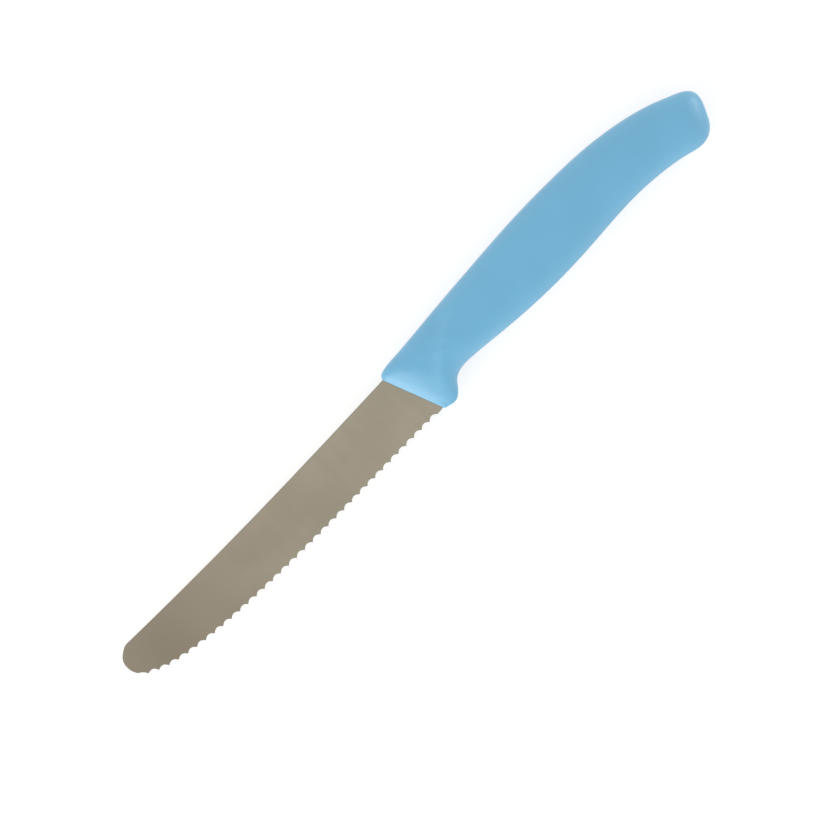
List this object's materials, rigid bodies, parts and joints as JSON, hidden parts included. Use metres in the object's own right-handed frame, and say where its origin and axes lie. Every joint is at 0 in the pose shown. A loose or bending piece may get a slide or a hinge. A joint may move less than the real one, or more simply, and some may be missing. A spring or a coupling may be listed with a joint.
{
  "type": "tomato knife",
  "caption": "Small kitchen knife for tomatoes: straight-backed blade with a rounded nose, a scalloped edge ground on the right side, and a moulded plastic handle with a finger guard.",
  "frame": {"origin": "centre of the knife's bounding box in X and Y, at the lowest point of the handle's right side, on which the knife lies", "axes": "+X from the nose of the blade to the butt of the handle, +Y from the edge to the spine, +Z to the blade's left side, which faces up"},
  "size_m": [0.2246, 0.0252, 0.013],
  "materials": {
    "blade_steel": "satin ground stainless steel",
    "handle_plastic": "light blue polypropylene, moulded with a fine satin texture"
  },
  "bodies": {
    "root": {"blade": "blade_steel", "handle": "handle_plastic"}
  },
  "joints": []
}
